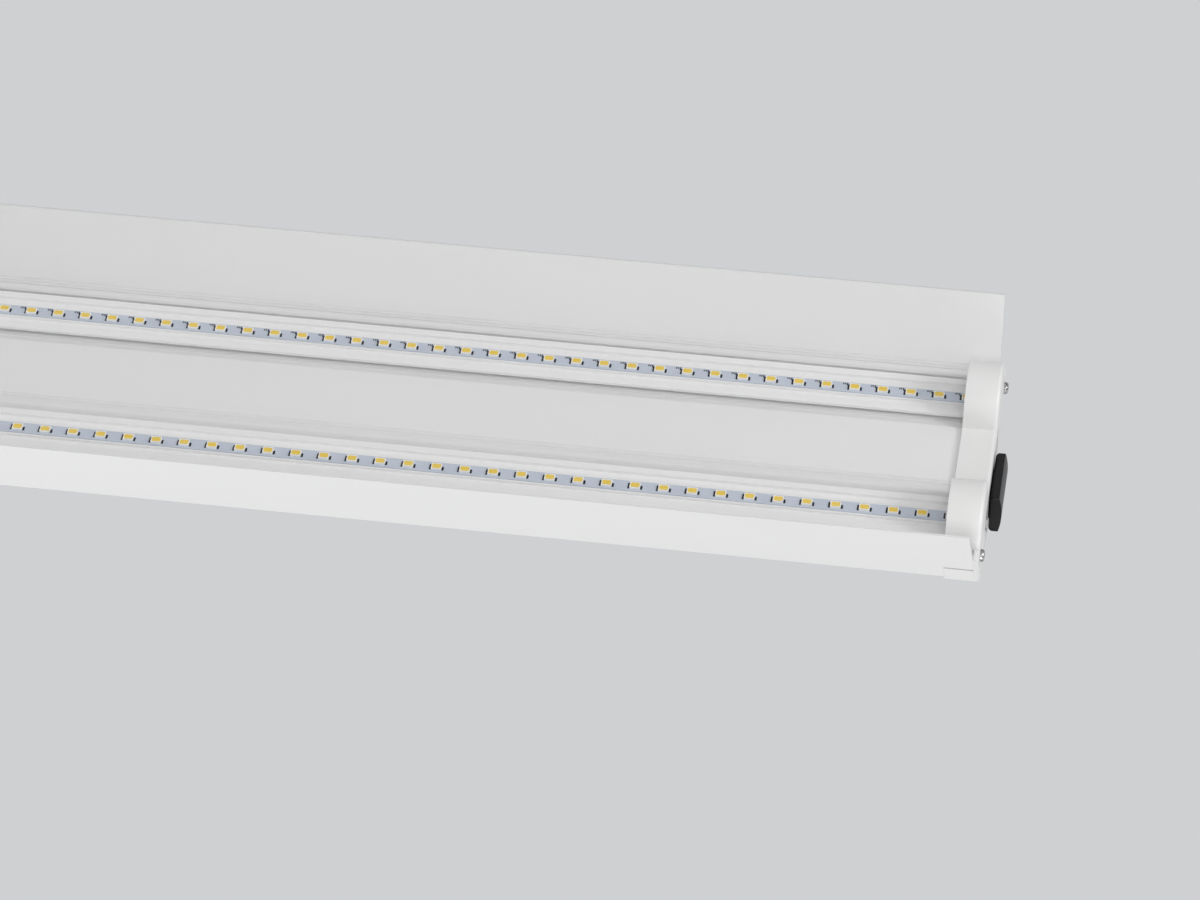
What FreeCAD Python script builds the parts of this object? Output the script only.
"""Hanging shop light with two LED strips under clear half-round lenses.

Frame: +X along the light towards its linking outlet, +Z up as it hangs, lamps facing -Z.
The origin is the centre of the flat back face. Sizes are in millimetres.
"""
import FreeCAD, Part
import math
import os

Vec = FreeCAD.Vector

# ---- driving dimensions ----
overall_length = 1200.0      # over both end caps

# Folded steel housing, whose sloping sides are also the reflector
sheet = 0.7
bend_radius = 1.2            # inside the two back folds
back_width = 68.5
mouth_width = 124.2
housing_height = 20.7        # back face to lamp face
wing_drop = 21.9             # lamp face to the reflector's free edge
wing_corner_setback = 0.5    # how much shorter the free edge is than the root, at each end

# Lamp plate
plate_sheet = 0.7
plate_flange = 6.0
seat_gap = 0.1               # pieces that slide into one another

# Lamps
strip_spacing = 60.0
lens_radius = 13.0
lens_wall = 1.0
lens_foot = 4.0
lens_end_gap = 1.5
rail_base = 1.0
rail_half_width = 7.6
rail_wall = 1.0
rail_height = 2.1
rail_lip = 1.8
rail_lip_gap = 0.15
rail_rib = 0.7
rail_rib_height = 0.9
rail_end_gap = 3.5
board_width = 5.0
board_thick = 1.0
board_side_gap = 0.1
board_end_margin = 3.0
led_pitch = 9.4
led_length = 3.5
led_width = 2.8
led_height = 0.7
led_end_margin = 11.4        # outlet end of the light to the last LED's centre
led_start_margin = 13.0      # least from the inlet end to the first LED's centre
near_board_shift = 0.6       # the near strip sits this much further towards the outlet

# End caps
cap_wall = 2.0
cap_reach = 9.7              # skirt beyond the end wall, towards the middle
cap_skin = 1.0               # over the lenses and the valley
cap_back_skin = 0.4          # over the housing's back, where the skirt is thinner
cap_side_lap = 10.0          # skirt that wraps up the housing's sides
cap_lap_edge = 0.15          # the side skirt thins to this at its free edge
cap_edge_round = 1.3
pocket_depth = 1.2
pocket_width = 46.0
pocket_margin = 1.2          # pocket to the cover's free edge
pocket_rim_gap = 0.3         # pocket to the cover's hinge edge

# Cap screws and brackets
screw_radius = 1.25
screw_length = 10.0
screw_head_radius = 2.05
screw_head_height = 1.4
screw_head_round = 0.8
screw_drive_reach = 1.2      # cross slot's arm, from the screw's axis
screw_drive_width = 0.6
screw_drive_depth = 0.7
screw_side_margin = 3.8      # screw axis to the housing's outer side at its height
screw_above_plate = 1.8      # screw axis to the lamp plate's inner face
screw_hole_clearance = 0.1
thread_clearance = 0.02
bracket_sheet = 1.0
bracket_foot = 9.0
bracket_gap = 0.2

# Linking outlet and power inlet: wells that take a connector's nose
well_width = 14.0
well_height = 8.6
well_depth = 12.0
well_wall = 1.2
well_floor = 2.0
socket_gap = 0.1
socket_flange = 1.2
socket_flange_rim = 1.5
socket_snap_rim = 0.5        # ridge that snaps behind the bracket
collar_lug_gap = 0.4         # the socket's collar stops this far short of the hinge lugs
contact_count = 3
contact_pitch = 4.6
contact_length = 6.0
contact_width = 2.4
contact_thick = 1.6
contact_tail = 4.0
pin_contact_radius = 0.9

# Dust cover and its hinge
cover_width = 23.2
cover_height = 14.8
cover_top = 1.4              # back face of the light to the cover's top edge
cover_proud = 3.4            # cover's rim beyond the end cap
cover_bulge = 1.05           # crown of its outer face
cover_wall = 1.3
cover_corner = 0.7
cover_inner_corner = 0.4
cover_gap = 0.3
hinge_pin_radius = 0.6
hinge_knuckle = 1.3
hinge_clearance = 0.05
lug_thick = 1.4
lug_height = 4.5
lug_side_gap = 0.3           # lug to the cover's slot, on both sides
pin_end_recess = 0.2         # pin's end inside the cover's side

# Hanging bails
bail_wire = 2.5
bail_from_end = 180.0
bail_half_width = 13.0
bail_reach = 62.0
bail_crown_radius = 5.0
bail_corner_radius = 4.0
bail_foot = 3.6              # wire end beyond the ear
bail_axis_height = 2.1
bail_hole_clearance = 0.05
ear_width = 6.0
ear_sheet = 0.7
ear_rim = 1.6
ear_inside_gap = 0.3         # ear to the end of the bail's corner

# Keyholes in the back
keyhole_spacing = 600.0
keyhole_head_radius = 4.5
keyhole_slot_width = 5.0
keyhole_slot_length = 9.0

# Driver
driver_from_end = 230.0      # inlet end to the driver's near edge
tray_length = 176.0
tray_width = 42.0
tray_wall = 1.0
tray_side = 5.0
post_radius = 2.0
post_height = 2.5
board_edge_gap = 1.0
driver_board_thick = 1.6
transformer_size = (24.0, 20.0, 11.5)
choke_radius = 6.5
choke_thick = 6.0
choke_bore = 3.0
capacitor_radius = 5.0
capacitor_height = 11.0
capacitor_pitch = 12.0
capacitor_count = 3
chip_size = (9.0, 6.5, 2.2)
chip_pitch = 14.0
fuse_radius = 2.4
fuse_length = 12.0
terminal_size = (9.0, 16.0, 8.0)
terminal_side_gap = 0.4

# Wiring
wire_radius = 1.0
wire_pitch = 3.0
lead_radius = 0.7
lead_pitch = 2.2
wire_bend = 5.0
wire_straight = 15.0         # straight at a terminal or contact
inlet_turn = 20.0            # the same beside the driver and the inlet
mains_slant = 60.0           # driver's end to where the mains reach their side
mains_outlet_turn = 80.0     # outlet to where they leave it again
earth_inlet_turn = 30.0      # earth screw to the earth wire's first turn
earth_outlet_turn = 100.0
lead_straight = 8.4
lead_slant = 16.8
lead_turn = 14.0             # lead's last turn to its hole in the plate
wire_side = 26.0             # mains run beside the middle of the housing
earth_side = 33.0            # earth run, on the other side
earth_screw_radius = 2.0
earth_washer_radius = 4.0

# ---- places worked out from them ----
half_length = overall_length / 2
sheet_half_length = half_length - cap_wall
side_slope = (mouth_width - back_width) / 2 / (housing_height + wing_drop)
slant = math.sqrt(1 + side_slope ** 2)     # horizontal width of a unit-thick sloping sheet
lamp_face = -housing_height
mouth_z = lamp_face - wing_drop
plate_top = lamp_face + plate_sheet
interior_top = -sheet
strip_y = strip_spacing / 2
hump_radius = lens_radius + seat_gap + cap_skin
cap_back = seat_gap + cap_back_skin
cap_valley = lamp_face - seat_gap - cap_skin
screw_z = plate_top + screw_above_plate
cover_top_z = -cover_top
cover_bottom_z = cover_top_z - cover_height
cover_centre_z = (cover_top_z + cover_bottom_z) / 2
pocket_floor_x = half_length - pocket_depth
cover_back_x = half_length + cover_gap
hinge_x = cover_back_x + hinge_knuckle
hinge_z = cover_top_z - hinge_knuckle
lug_outer_y = cover_width / 2 - cover_wall - lug_side_gap
lug_inner_y = lug_outer_y - lug_thick
well_outer_half_width = well_width / 2 + well_wall
well_outer_half_height = well_height / 2 + well_wall
socket_back_x = pocket_floor_x - well_depth - well_floor
rail_half_length = sheet_half_length - rail_end_gap
last_led_x = half_length - led_end_margin
led_count = 1 + math.floor((overall_length - led_end_margin - led_start_margin) / led_pitch)
first_led_x = last_led_x - (led_count - 1) * led_pitch
driver_start_x = -half_length + driver_from_end
driver_centre_x = driver_start_x + tray_length / 2
tray_floor_top = plate_top + tray_wall
driver_board_bottom = tray_floor_top + post_height
driver_board_top = driver_board_bottom + driver_board_thick
driver_board_length = tray_length - 2 * (tray_wall + board_edge_gap)
driver_board_width = tray_width - 2 * (tray_wall + board_edge_gap)
bail_x = half_length - bail_from_end
ear_inner_y = bail_half_width + bail_corner_radius + ear_inside_gap
lead_hole_x = -sheet_half_length + rail_end_gap / 2


def side_half_width(z):
    """Half width of the housing's outer faces at height z."""
    return back_width / 2 - side_slope * z


screw_half_spacing = side_half_width(screw_z) - screw_side_margin


# ---- small geometry helpers ----
def box(x0, x1, y0, y1, z0, z1):
    return Part.makeBox(x1 - x0, y1 - y0, z1 - z0, Vec(x0, y0, z0))


def cylinder_x(x0, x1, y, z, radius):
    return Part.makeCylinder(radius, x1 - x0, Vec(x0, y, z), Vec(1, 0, 0))


def cylinder_y(x, y0, y1, z, radius):
    return Part.makeCylinder(radius, y1 - y0, Vec(x, y0, z), Vec(0, 1, 0))


def cylinder_z(x, y, z0, z1, radius):
    return Part.makeCylinder(radius, z1 - z0, Vec(x, y, z0), Vec(0, 0, 1))


def extrude_section(points, x0, x1):
    """A closed outline of (y, z) points, extruded from x0 to x1."""
    corners = [Vec(x0, y, z) for y, z in points]
    outline = Part.makePolygon(corners + corners[:1])
    return Part.Face(outline).extrude(Vec(x1 - x0, 0, 0))


def both_sides(points):
    """An outline's right half, given from the middle outwards, with its mirror image."""
    return points + [(-y, z) for y, z in reversed(points)]


def rounded_bar(x0, x1, half_width, z0, z1, corner):
    """A bar along X with its four long edges rounded."""
    bar = box(x0, x1, -half_width, half_width, z0, z1)
    long_edges = [e for e in bar.Edges if abs(e.tangentAt(e.FirstParameter).x) > 0.9]
    return bar.makeFillet(corner, long_edges)


def along_x_edges(shape, test):
    """Straight edges along X whose middle point passes the test."""
    found = []
    for edge in shape.Edges:
        middle = edge.CenterOfMass
        if abs(edge.tangentAt(edge.FirstParameter).x) > 0.999 and test(middle):
            found.append(edge)
    return found


def along_y_edges(shape):
    return [e for e in shape.Edges if abs(e.tangentAt(e.FirstParameter).y) > 0.999]


def round_wire(points, radius, bend):
    """A round wire through the points, with tangent arcs at its turns."""
    points = [Vec(*p) for p in points]
    edges = []
    start = points[0]
    for before, corner, after in zip(points, points[1:], points[2:]):
        back = (before - corner).normalize()
        ahead = (after - corner).normalize()
        half_angle = back.getAngle(ahead) / 2
        trim = bend / math.tan(half_angle)
        arc_start = corner + back * trim
        arc_end = corner + ahead * trim
        bisector = (back + ahead).normalize()
        arc_middle = corner + bisector * (bend / math.sin(half_angle) - bend)
        edges.append(Part.makeLine(start, arc_start))
        edges.append(Part.Arc(arc_start, arc_middle, arc_end).toShape())
        start = arc_end
    edges.append(Part.makeLine(start, points[-1]))
    path = Part.Wire(edges)
    direction = (points[1] - points[0]).normalize()
    section = Part.Wire(Part.makeCircle(radius, points[0], direction))
    return path.makePipeShell([section], True, False)


def as_group(solids):
    return Part.makeCompound(solids)


def mirrored(shape):
    """The same shape at the other end of the light."""
    return shape.mirror(Vec(0, 0, 0), Vec(1, 0, 0))


# ---- housing ----
def housing_section(inset, z_top):
    """Open trapezium of the housing, drawn inset from its outer faces."""
    shift = inset * slant
    top = (side_half_width(z_top) - shift, z_top)
    bottom = (side_half_width(mouth_z) - shift, mouth_z)
    return both_sides([top, bottom])


def bail_ear(x, y):
    """One ear, folded up from the back, without its hole."""
    ear_top = bail_axis_height + bail_wire / 2 + ear_rim
    ear = box(x - ear_width / 2, x + ear_width / 2, y, y + ear_sheet, -sheet, ear_top)
    upper = [e for e in ear.Edges if abs(e.tangentAt(e.FirstParameter).y) > 0.9
             and e.CenterOfMass.z > bail_axis_height]
    return ear.makeFillet(ear_width / 2 - ear_rim, upper)


def ear_positions():
    """Inner face of each ear across the light, with the side its window lies on."""
    return [(ear_inner_y, 1), (-ear_inner_y - ear_sheet, -1)]


def keyhole(x):
    head = cylinder_z(x, 0, -sheet, 0, keyhole_head_radius)
    half = keyhole_slot_width / 2
    slot = box(x, x + keyhole_slot_length, -half, half, -sheet, 0)
    slot_end = cylinder_z(x + keyhole_slot_length, 0, -sheet, 0, half)
    return head.fuse([slot, slot_end])


def reflector_housing():
    body = extrude_section(housing_section(0, 0), -sheet_half_length, sheet_half_length)
    outer_folds = along_x_edges(body, lambda p: abs(p.z) < 0.01)
    body = body.makeFillet(bend_radius + sheet, outer_folds)
    hollow_reach = half_length + 1
    hollow = extrude_section(housing_section(sheet, -sheet), -hollow_reach, hollow_reach)
    inner_folds = along_x_edges(hollow, lambda p: abs(p.z + sheet) < 0.01)
    hollow = hollow.makeFillet(bend_radius, inner_folds)
    body = body.cut(hollow)
    for end in (-1, 1):
        root = Vec(end * sheet_half_length, -mouth_width, lamp_face)
        edge = Vec(end * (sheet_half_length - wing_corner_setback), -mouth_width, mouth_z)
        past = Vec(end * sheet_half_length, -mouth_width, mouth_z)
        wedge = Part.Face(Part.makePolygon([root, edge, past, root]))
        body = body.cut(wedge.extrude(Vec(0, 2 * mouth_width, 0)))
    for x in (-bail_x, bail_x):
        for y, side in ear_positions():
            body = body.fuse(bail_ear(x, y))
            window = bail_axis_height + bail_wire / 2 + ear_rim
            y0 = y + ear_sheet if side > 0 else y - window
            body = body.cut(box(x - ear_width / 2, x + ear_width / 2, y0, y0 + window, -sheet, 0))
        hole_reach = back_width / 2
        hole_radius = bail_wire / 2 + bail_hole_clearance
        body = body.cut(cylinder_y(x, -hole_reach, hole_reach, bail_axis_height, hole_radius))
    for x in (-keyhole_spacing / 2, keyhole_spacing / 2):
        body = body.cut(keyhole(x))
    return body.removeSplitter()


def lamp_plate():
    """Flat plate with side flanges that lie along the housing's sloping sides."""
    gap = (sheet + seat_gap) * slant
    skin = plate_sheet * slant
    flange_z = plate_top + plate_flange
    low = side_half_width(lamp_face) - gap
    high = side_half_width(flange_z) - gap
    inner_low = side_half_width(plate_top) - gap - skin
    outline = both_sides([(inner_low, plate_top), (high - skin, flange_z), (high, flange_z),
                          (low, lamp_face)])
    plate = extrude_section(outline, -sheet_half_length, sheet_half_length)
    for y in (-strip_y, strip_y):
        half = lead_pitch + lead_radius
        plate = plate.cut(box(lead_hole_x - rail_end_gap, lead_hole_x + rail_end_gap / 2 - lead_radius,
                              y - half, y + half, lamp_face, plate_top))
    return plate


# ---- lamps ----
def lens(y):
    x0 = -sheet_half_length + lens_end_gap
    x1 = sheet_half_length - lens_end_gap
    outer = cylinder_x(x0, x1, y, lamp_face, lens_radius)
    bore = cylinder_x(x0, x1, y, lamp_face, lens_radius - lens_wall)
    foot_inner = lens_radius - lens_wall - lens_foot
    feet = box(x0, x1, y - lens_radius, y + lens_radius, lamp_face - lens_wall, lamp_face)
    feet = feet.common(outer)
    feet = feet.cut(box(x0, x1, y - foot_inner, y + foot_inner, lamp_face - lens_wall, lamp_face))
    below = box(x0, x1, y - lens_radius, y + lens_radius, lamp_face - lens_radius, lamp_face)
    return outer.cut(bore).common(below).fuse(feet).removeSplitter()


def strip_rail(y):
    """White rail: a flat base with ribs beside the board and lips over the lens's feet."""
    lip_top = lamp_face - lens_wall - rail_lip_gap
    top = lamp_face - rail_height
    base = lamp_face - rail_base
    rib = base - rail_rib_height
    rib_in = board_width / 2 + board_side_gap
    wall_in = rail_half_width - rail_wall
    half = [(rib_in, base), (rib_in, rib), (rib_in + rail_rib, rib), (rib_in + rail_rib, base),
            (wall_in, base), (wall_in, top), (rail_half_width + rail_lip, top),
            (rail_half_width + rail_lip, lip_top), (rail_half_width, lip_top),
            (rail_half_width, lamp_face)]
    outline = [(y + dy, z) for dy, z in both_sides(half)]
    return extrude_section(outline, -rail_half_length, rail_half_length)


def led_board(y, shift):
    top = lamp_face - rail_base
    x0 = first_led_x - board_end_margin + shift
    x1 = last_led_x + board_end_margin + shift
    return box(x0, x1, y - board_width / 2, y + board_width / 2, top - board_thick, top)


def leds(y, shift):
    top = lamp_face - rail_base - board_thick
    packages = []
    for index in range(led_count):
        x = first_led_x + index * led_pitch + shift
        packages.append(box(x - led_length / 2, x + led_length / 2, y - led_width / 2,
                            y + led_width / 2, top - led_height, top))
    return as_group(packages)


# ---- end caps ----
def cap_outline(x0, x1):
    """Solid with the end cap's whole outline: sloping sides, two humps and the valley."""
    grow = cap_back * slant
    back = (side_half_width(cap_back) + grow, cap_back)
    low = (side_half_width(cap_valley) + grow, cap_valley)
    body = extrude_section(both_sides([back, low]), x0, x1)
    for y in (-strip_y, strip_y):
        body = body.fuse(cylinder_x(x0, x1, y, lamp_face, hump_radius))
    return body.removeSplitter()


def cap_skirt(x0, x1):
    """Thin skirt over the lenses and the valley, and round the housing's back."""
    reach = strip_y + hump_radius
    front = box(x0, x1, -reach, reach, cap_valley, lamp_face - seat_gap)
    for y in (-strip_y, strip_y):
        front = front.fuse(cylinder_x(x0, x1, y, lamp_face, hump_radius))
    front = front.cut(box(x0, x1, -mouth_width, mouth_width, lamp_face - seat_gap, cap_back))
    for y in (-strip_y, strip_y):
        front = front.cut(cylinder_x(x0, x1, y, lamp_face, lens_radius + seat_gap))
    grow = cap_back * slant
    edge = (seat_gap + cap_lap_edge) * slant
    back_outer = both_sides([(side_half_width(cap_back) + grow, cap_back),
                             (side_half_width(-cap_side_lap) + edge, -cap_side_lap)])
    lap = seat_gap * slant
    back_inner = both_sides([(side_half_width(seat_gap) + lap, seat_gap),
                             (side_half_width(-cap_side_lap) + lap, -cap_side_lap)])
    back = extrude_section(back_outer, x0, x1).cut(extrude_section(back_inner, x0, x1))
    return front, back


def end_cap():
    """Moulded cap at the outlet end, before the hinge lugs."""
    wall = cap_outline(sheet_half_length, half_length)
    rim = [e for e in wall.Edges if abs(e.CenterOfMass.x - half_length) < 0.01]
    wall = wall.makeFillet(cap_edge_round, rim)
    front, back = cap_skirt(sheet_half_length - cap_reach, sheet_half_length)
    cap = wall.fuse([front, back]).removeSplitter()
    window = box(socket_back_x, half_length, -well_outer_half_width - socket_gap,
                 well_outer_half_width + socket_gap,
                 cover_centre_z - well_outer_half_height - socket_gap,
                 cover_centre_z + well_outer_half_height + socket_gap)
    pocket = box(pocket_floor_x, half_length, -pocket_width / 2, pocket_width / 2,
                 cover_bottom_z - pocket_margin, cover_top_z + pocket_rim_gap)
    cap = cap.cut(window).cut(pocket)
    for y in (-screw_half_spacing, screw_half_spacing):
        hole_radius = screw_radius + screw_hole_clearance
        cap = cap.cut(cylinder_x(sheet_half_length, half_length, y, screw_z, hole_radius))
    return cap


def lug_sides():
    """Where each hinge lug starts and ends across the light."""
    return [(lug_inner_y, lug_outer_y), (-lug_outer_y, -lug_inner_y)]


def hinge_lugs():
    """Two lugs that stand on the pocket's floor and reach into slots in the cover."""
    lugs = []
    for y0, y1 in lug_sides():
        lug = box(pocket_floor_x, hinge_x + hinge_knuckle, y0, y1, cover_top_z - lug_height,
                  cover_top_z)
        outer = [e for e in lug.Edges if abs(e.tangentAt(e.FirstParameter).y) > 0.9
                 and e.CenterOfMass.x > hinge_x]
        lug = lug.makeFillet(hinge_knuckle, outer)
        bore = cylinder_y(hinge_x, y0, y1, hinge_z, hinge_pin_radius + thread_clearance)
        lugs.append(lug.cut(bore))
    return lugs


def end_cap_outlet():
    return end_cap().fuse(hinge_lugs()).removeSplitter()


def end_cap_inlet():
    return mirrored(end_cap())


def end_bracket():
    """Folded plate just inside the housing's end, which the cap screws cut into."""
    x1 = sheet_half_length
    x0 = x1 - bracket_sheet
    low = plate_top
    high = interior_top
    fold = plate_top + plate_flange + bracket_gap
    gap = (sheet + bracket_gap) * slant
    inner_gap = gap + plate_sheet * slant
    outline = both_sides([(side_half_width(high) - gap - bend_radius, high),
                          (side_half_width(fold) - gap - bend_radius, fold),
                          (side_half_width(fold) - inner_gap, fold),
                          (side_half_width(low) - inner_gap, low)])
    bracket = extrude_section(outline, x0, x1)
    foot_half = side_half_width(high) - gap - bend_radius
    foot = box(x1 - bracket_foot, x1, -foot_half, foot_half, high - bracket_sheet, high)
    bracket = bracket.fuse(foot)
    window = box(x1 - bracket_foot, x1, -well_outer_half_width - socket_gap,
                 well_outer_half_width + socket_gap,
                 cover_centre_z - well_outer_half_height - socket_gap, interior_top)
    bracket = bracket.cut(window)
    for y in (-screw_half_spacing, screw_half_spacing):
        bracket = bracket.cut(cylinder_x(x0, x1, y, screw_z, screw_radius + thread_clearance))
    return bracket.removeSplitter()


def cap_screws():
    screws = []
    for y in (-screw_half_spacing, screw_half_spacing):
        head = cylinder_x(half_length, half_length + screw_head_height, y, screw_z, screw_head_radius)
        rim = [e for e in head.Edges if e.CenterOfMass.x > half_length + screw_head_height / 2
               and e.Closed]
        head = head.makeFillet(screw_head_round, rim)
        shank = cylinder_x(half_length - screw_length, half_length, y, screw_z, screw_radius)
        screw = head.fuse(shank)
        floor = half_length + screw_head_height - screw_drive_depth
        top = half_length + screw_head_height
        arm = screw_drive_reach
        half = screw_drive_width / 2
        screw = screw.cut(box(floor, top, y - arm, y + arm, screw_z - half, screw_z + half))
        screw = screw.cut(box(floor, top, y - half, y + half, screw_z - arm, screw_z + arm))
        screws.append(screw)
    return as_group(screws)


# ---- outlet and inlet ----
def socket_body(rim):
    """Open well through the end cap, with a rim of this height behind the bracket."""
    back = socket_back_x
    z0 = cover_centre_z - well_outer_half_height
    z1 = cover_centre_z + well_outer_half_height
    body = box(back, pocket_floor_x, -well_outer_half_width, well_outer_half_width, z0, z1)
    well = box(back + well_floor, pocket_floor_x, -well_width / 2, well_width / 2,
               cover_centre_z - well_height / 2, cover_centre_z + well_height / 2)
    body = body.cut(well)
    flange_x = sheet_half_length - bracket_sheet - socket_gap
    flange_half = well_outer_half_width + rim
    flange = box(flange_x - socket_flange, flange_x, -flange_half, flange_half, z0, z1)
    inner = box(flange_x - socket_flange, flange_x, -well_outer_half_width,
                well_outer_half_width, z0, z1)
    return body.fuse(flange.cut(inner)).removeSplitter()


def contact_places():
    first = -(contact_count - 1) / 2 * contact_pitch
    return [first + index * contact_pitch for index in range(contact_count)]


def outlet_collar():
    """Raised frame round the well's mouth, as large as the cover, notched for the lugs."""
    half = cover_width / 2
    collar = box(pocket_floor_x, half_length, -half, half, cover_bottom_z, cover_top_z)
    well = box(pocket_floor_x, half_length, -well_width / 2, well_width / 2,
               cover_centre_z - well_height / 2, cover_centre_z + well_height / 2)
    collar = collar.cut(well)
    notch_z = cover_top_z - lug_height - collar_lug_gap
    notch_y = lug_inner_y - collar_lug_gap
    for y0, y1 in ((notch_y, half), (-half, -notch_y)):
        collar = collar.cut(box(pocket_floor_x, half_length, y0, y1, notch_z, cover_top_z))
    return collar


def outlet_socket():
    body = socket_body(socket_snap_rim).fuse(outlet_collar()).removeSplitter()
    for y in contact_places():
        body = body.cut(box(socket_back_x, socket_back_x + well_floor, y - contact_width / 2,
                            y + contact_width / 2, cover_centre_z - contact_thick / 2,
                            cover_centre_z + contact_thick / 2))
    return body


def outlet_contacts():
    """Hollow blades that take the mating pins."""
    blades = []
    x0 = socket_back_x - contact_tail
    x1 = socket_back_x + well_floor + contact_length
    for y in contact_places():
        blade = box(x0, x1, y - contact_width / 2, y + contact_width / 2,
                    cover_centre_z - contact_thick / 2, cover_centre_z + contact_thick / 2)
        mouth_half = contact_width / 2 - contact_thick / 4
        mouth = box(x1 - contact_length, x1, y - mouth_half, y + mouth_half,
                    cover_centre_z - contact_thick / 4, cover_centre_z + contact_thick / 4)
        blades.append(blade.cut(mouth))
    return as_group(blades)


def inlet_socket():
    body = socket_body(socket_flange_rim)
    for y in contact_places():
        body = body.cut(cylinder_x(socket_back_x, socket_back_x + well_floor, y, cover_centre_z,
                                   pin_contact_radius))
    return mirrored(body)


def inlet_pins():
    pins = []
    x0 = socket_back_x - contact_tail
    x1 = socket_back_x + well_floor + contact_length
    for y in contact_places():
        pin = cylinder_x(x0, x1, y, cover_centre_z, pin_contact_radius)
        tip = [e for e in pin.Edges if e.Closed and abs(e.CenterOfMass.x - x1) < 0.01]
        pins.append(pin.makeFillet(pin_contact_radius / 2, tip))
    return mirrored(as_group(pins))


def outlet_cover():
    """Hollow dust cover with a crowned outer face, slotted for the two hinge lugs."""
    rim_x = half_length + cover_proud
    half = cover_width / 2
    reach_x = rim_x + cover_bulge
    body = rounded_bar(cover_back_x, reach_x, half, cover_bottom_z, cover_top_z, cover_corner)
    crown_radius = (cover_height ** 2 / 4 + cover_bulge ** 2) / (2 * cover_bulge)
    crown = cylinder_y(reach_x - crown_radius, -half, half, cover_centre_z, crown_radius)
    body = body.common(crown)
    top_back = [e for e in along_y_edges(body)
                if abs(e.CenterOfMass.x - cover_back_x) < 0.01 and e.CenterOfMass.z > hinge_z]
    body = body.makeFillet(hinge_knuckle - hinge_clearance, top_back)
    hollow = rounded_bar(cover_back_x, rim_x - cover_wall, half - cover_wall,
                         cover_bottom_z + cover_wall, hinge_z - hinge_knuckle, cover_inner_corner)
    body = body.cut(hollow)
    bore_radius = hinge_pin_radius + hinge_clearance
    body = body.cut(cylinder_y(hinge_x, -half, half, hinge_z, bore_radius))
    slot_x = hinge_x + hinge_knuckle + lug_side_gap
    slot_z = cover_top_z - lug_height - lug_side_gap
    for y0, y1 in lug_sides():
        body = body.cut(box(cover_back_x, slot_x, y0 - lug_side_gap, y1 + lug_side_gap, slot_z,
                            cover_top_z))
    return body


def cover_hinge_pin():
    reach = cover_width / 2 - pin_end_recess
    return cylinder_y(hinge_x, -reach, reach, hinge_z, hinge_pin_radius)


# ---- hanging bails ----
def hanger_bail():
    """Wire bail at the outlet end, folded flat towards the middle of the light."""
    z = bail_axis_height
    foot_y = ear_inner_y + ear_sheet + bail_foot
    crown_half = bail_crown_radius
    crown_x = bail_x - bail_reach
    points = [(bail_x, foot_y, z), (bail_x, bail_half_width, z), (crown_x, crown_half, z),
              (crown_x, -crown_half, z), (bail_x, -bail_half_width, z), (bail_x, -foot_y, z)]
    return round_wire(points, bail_wire / 2, bail_corner_radius)


# ---- driver ----
def driver_tray():
    x0 = driver_start_x
    x1 = driver_start_x + tray_length
    half = tray_width / 2
    tray = box(x0, x1, -half, half, plate_top, plate_top + tray_side)
    tray = tray.cut(box(x0 + tray_wall, x1 - tray_wall, -half + tray_wall, half - tray_wall,
                        tray_floor_top, plate_top + tray_side))
    inset = tray_wall + board_edge_gap + 2 * post_radius
    posts = [cylinder_z(x, y, tray_floor_top, driver_board_bottom, post_radius)
             for x in (x0 + inset, x1 - inset) for y in (-half + inset, half - inset)]
    return tray.fuse(posts)


def driver_board():
    half = driver_board_width / 2
    reach = driver_board_length / 2
    return box(driver_centre_x - reach, driver_centre_x + reach, -half, half,
               driver_board_bottom, driver_board_top)


def on_board(size, x, y):
    length, width, height = size
    return box(x - length / 2, x + length / 2, y - width / 2, y + width / 2,
               driver_board_top, driver_board_top + height)


def terminal_x(end):
    reach = driver_board_length / 2 - terminal_size[0] / 2 - terminal_side_gap
    return driver_centre_x + end * reach


def driver_transformer():
    """Wound bobbin between two core halves."""
    length, width, height = transformer_size
    core = on_board(transformer_size, driver_centre_x, 0)
    side = length / 4
    windows = []
    for sign in (-1, 1):
        windows.append(box(driver_centre_x + sign * side - side / 2,
                           driver_centre_x + sign * side + side / 2, -width / 2, width / 2,
                           driver_board_top + height / 4, driver_board_top + height * 3 / 4))
    return core.cut(windows[0]).cut(windows[1])


def driver_choke():
    x = driver_centre_x - transformer_size[0] / 2 - 2 * choke_radius
    ring = cylinder_z(x, 0, driver_board_top, driver_board_top + choke_thick, choke_radius)
    return ring.cut(cylinder_z(x, 0, driver_board_top, driver_board_top + choke_thick, choke_bore))


def driver_capacitors():
    start = driver_centre_x + transformer_size[0] / 2 + capacitor_pitch
    cans = []
    for index in range(capacitor_count):
        x = start + index * capacitor_pitch
        cans.append(cylinder_z(x, 0, driver_board_top, driver_board_top + capacitor_height,
                               capacitor_radius))
    return as_group(cans)


def driver_chips():
    y = driver_board_width / 2 - board_edge_gap - chip_size[1] / 2
    places = [driver_centre_x + index * chip_pitch for index in (-2, -1, 0, 1)]
    return as_group([on_board(chip_size, x, y) for x in places])


def driver_fuse():
    x = terminal_x(-1) + terminal_size[0] / 2 + fuse_length
    z = driver_board_top + fuse_radius
    y = -driver_board_width / 2 + 2 * fuse_radius
    return cylinder_x(x - fuse_length / 2, x + fuse_length / 2, y, z, fuse_radius)


def driver_terminals():
    blocks = []
    for end in (-1, 1):
        blocks.append(on_board(terminal_size, terminal_x(end), 0))
    return as_group(blocks)


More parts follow.
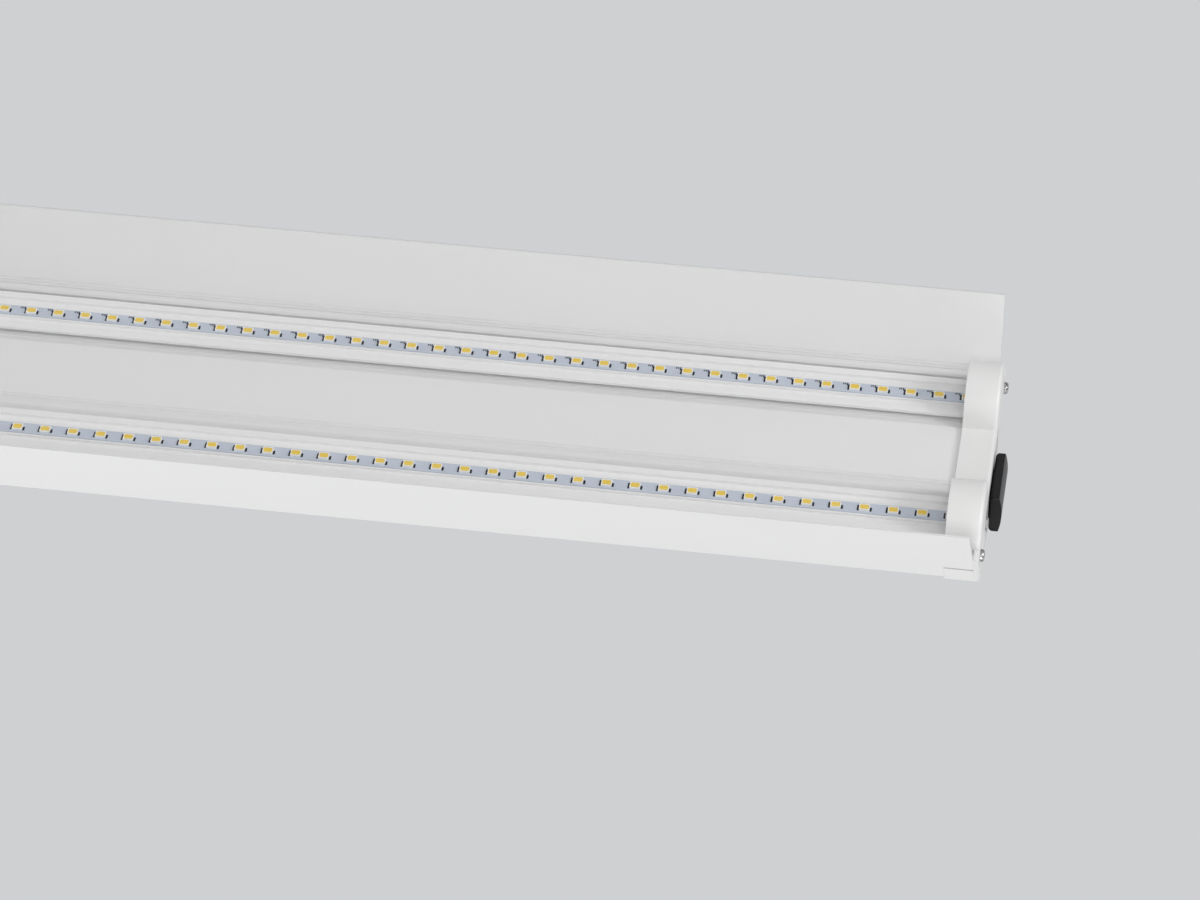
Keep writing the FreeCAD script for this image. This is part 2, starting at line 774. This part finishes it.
# ---- wiring ----
def mains_wires():
    """Line and neutral: inlet to driver, and driver terminal to outlet."""
    wires = []
    terminal_z = driver_board_top + terminal_size[2] / 2
    tail = socket_back_x - contact_tail
    for index, y_socket in enumerate(contact_places()[1:]):
        y_terminal = (index - 0.5) * wire_pitch
        end_in = terminal_x(-1) - terminal_size[0] / 2
        wires.append(round_wire([(-tail, y_socket, cover_centre_z),
                                 (-tail + inlet_turn, y_socket, cover_centre_z),
                                 (end_in - inlet_turn, y_terminal, terminal_z),
                                 (end_in, y_terminal, terminal_z)], wire_radius, wire_bend))
        start = terminal_x(1) + terminal_size[0] / 2
        y_start = (index - 0.5) * wire_pitch + terminal_size[1] / 4
        y_run = wire_side + (index - 1) * wire_pitch
        wires.append(round_wire([(start, y_start, terminal_z),
                                 (start + wire_straight, y_start, terminal_z),
                                 (start + mains_slant, y_run, cover_centre_z),
                                 (tail - mains_outlet_turn, y_run, cover_centre_z),
                                 (tail - wire_straight, y_socket, cover_centre_z),
                                 (tail, y_socket, cover_centre_z)], wire_radius, wire_bend))
    return as_group(wires)


def earth_place():
    """Centre of the earth screw on the lamp plate."""
    return driver_start_x - driver_from_end / 4, -earth_side


def earth_screw():
    x, y = earth_place()
    nut = cylinder_z(x, y, plate_top, plate_top + earth_screw_radius, earth_washer_radius)
    stud = cylinder_z(x, y, plate_top, plate_top + 3 * earth_screw_radius, earth_screw_radius)
    return nut.fuse(stud).removeSplitter()


def earth_wires():
    """Earth: the first contact at each end to the earth screw."""
    x, y = earth_place()
    y_socket = contact_places()[0]
    z = plate_top + earth_screw_radius + wire_radius
    edge = earth_screw_radius
    tail = socket_back_x - contact_tail
    inlet = round_wire([(-tail, y_socket, cover_centre_z),
                        (-tail + wire_straight, y_socket, cover_centre_z),
                        (x - earth_inlet_turn, y, z), (x - edge, y, z)], wire_radius, wire_bend)
    outlet = round_wire([(x + edge, y, z), (tail - earth_outlet_turn, y, z),
                         (tail - wire_straight, y_socket, cover_centre_z),
                         (tail, y_socket, cover_centre_z)], wire_radius, wire_bend)
    return as_group([inlet, outlet])


def led_leads():
    """Two thin leads to each board, down through the plate at the inlet end."""
    leads = []
    terminal_z = driver_board_top + terminal_size[2] / 4
    start = terminal_x(1) + terminal_size[0] / 2
    board_z = lamp_face - rail_base - lead_radius
    for side, shift in ((-1, 0), (1, near_board_shift)):
        board_end = first_led_x - board_end_margin + shift
        for index in (0, 1):
            y_start = side * terminal_size[1] / 4 - (index + 0.5) * lead_pitch * side
            y_run = side * (tray_width / 2 + (index + 1) * lead_pitch + lead_radius)
            y_end = side * strip_y + (index - 0.5) * lead_pitch
            run_z = plate_top + 2 * lead_radius
            bend = 2 * lead_radius
            leads.append(round_wire([(start, y_start, terminal_z),
                                     (start + lead_straight, y_start, terminal_z),
                                     (start + lead_slant, y_run, run_z),
                                     (driver_start_x - lead_straight, y_run, run_z),
                                     (lead_hole_x + lead_turn, y_end, run_z),
                                     (lead_hole_x, y_end, run_z),
                                     (lead_hole_x, y_end, board_z),
                                     (board_end, y_end, board_z)], lead_radius, bend))
    return as_group(leads)


# ---- all the pieces ----
def pieces():
    made = {
        "reflector_housing": reflector_housing(),
        "lamp_plate": lamp_plate(),
        "end_cap_outlet": end_cap_outlet(),
        "end_cap_inlet": end_cap_inlet(),
        "end_bracket_outlet": end_bracket(),
        "end_bracket_inlet": mirrored(end_bracket()),
        "cap_screws_outlet": cap_screws(),
        "cap_screws_inlet": mirrored(cap_screws()),
        "outlet_socket": outlet_socket(),
        "outlet_contacts": outlet_contacts(),
        "outlet_cover": outlet_cover(),
        "cover_hinge_pin": cover_hinge_pin(),
        "inlet_socket": inlet_socket(),
        "inlet_pins": inlet_pins(),
        "hanger_bail_outlet": hanger_bail(),
        "hanger_bail_inlet": mirrored(hanger_bail()),
        "driver_tray": driver_tray(),
        "driver_board": driver_board(),
        "driver_transformer": driver_transformer(),
        "driver_choke": driver_choke(),
        "driver_capacitors": driver_capacitors(),
        "driver_chips": driver_chips(),
        "driver_fuse": driver_fuse(),
        "driver_terminals": driver_terminals(),
        "mains_wires": mains_wires(),
        "earth_screw": earth_screw(),
        "earth_wires": earth_wires(),
        "led_leads": led_leads(),
    }
    for name, y, shift in (("far", -strip_y, 0), ("near", strip_y, near_board_shift)):
        made["lens_" + name] = lens(y)
        made["strip_rail_" + name] = strip_rail(y)
        made["led_board_" + name] = led_board(y, shift)
        made["leds_" + name] = leds(y, shift)
    return made


os.makedirs("parts", exist_ok=True)
for node, shape in pieces().items():
    shape.exportStep("parts/" + node + ".step")
    print(node, len(shape.Solids), "solids", round(shape.Volume, 1), shape.isValid())
